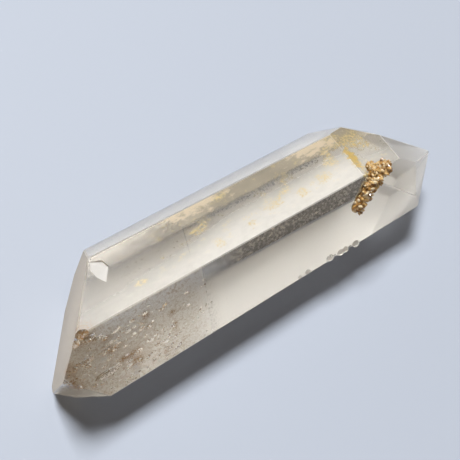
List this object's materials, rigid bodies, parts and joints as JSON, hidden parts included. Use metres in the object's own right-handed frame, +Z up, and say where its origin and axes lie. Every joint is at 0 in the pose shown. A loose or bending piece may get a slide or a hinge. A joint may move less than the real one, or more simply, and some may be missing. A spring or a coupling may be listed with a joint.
{
  "type": "golden healer quartz crystal",
  "caption": "Clear quartz prism with a bevelled point, a slanting broken end, golden iron stain and a small stained crust in a hollow; rests on a prism face.",
  "frame": {"origin": "centre of the bounding box in X and Y, at the height of the prism face that the crystal lies on", "axes": "+X along the crystal's long axis towards its point, +Z up, +Y to the back"},
  "size_m": [0.0796, 0.0224, 0.0198],
  "materials": {
    "clear_quartz": "clear, polished natural faces with a faint smoky warmth, milky and golden veils inside",
    "iron_stained_crust": "sugary golden-brown crust of small stained crystals"
  },
  "bodies": {
    "root": {"quartz_crystal": "clear_quartz", "golden_druse": "iron_stained_crust"}
  },
  "joints": []
}
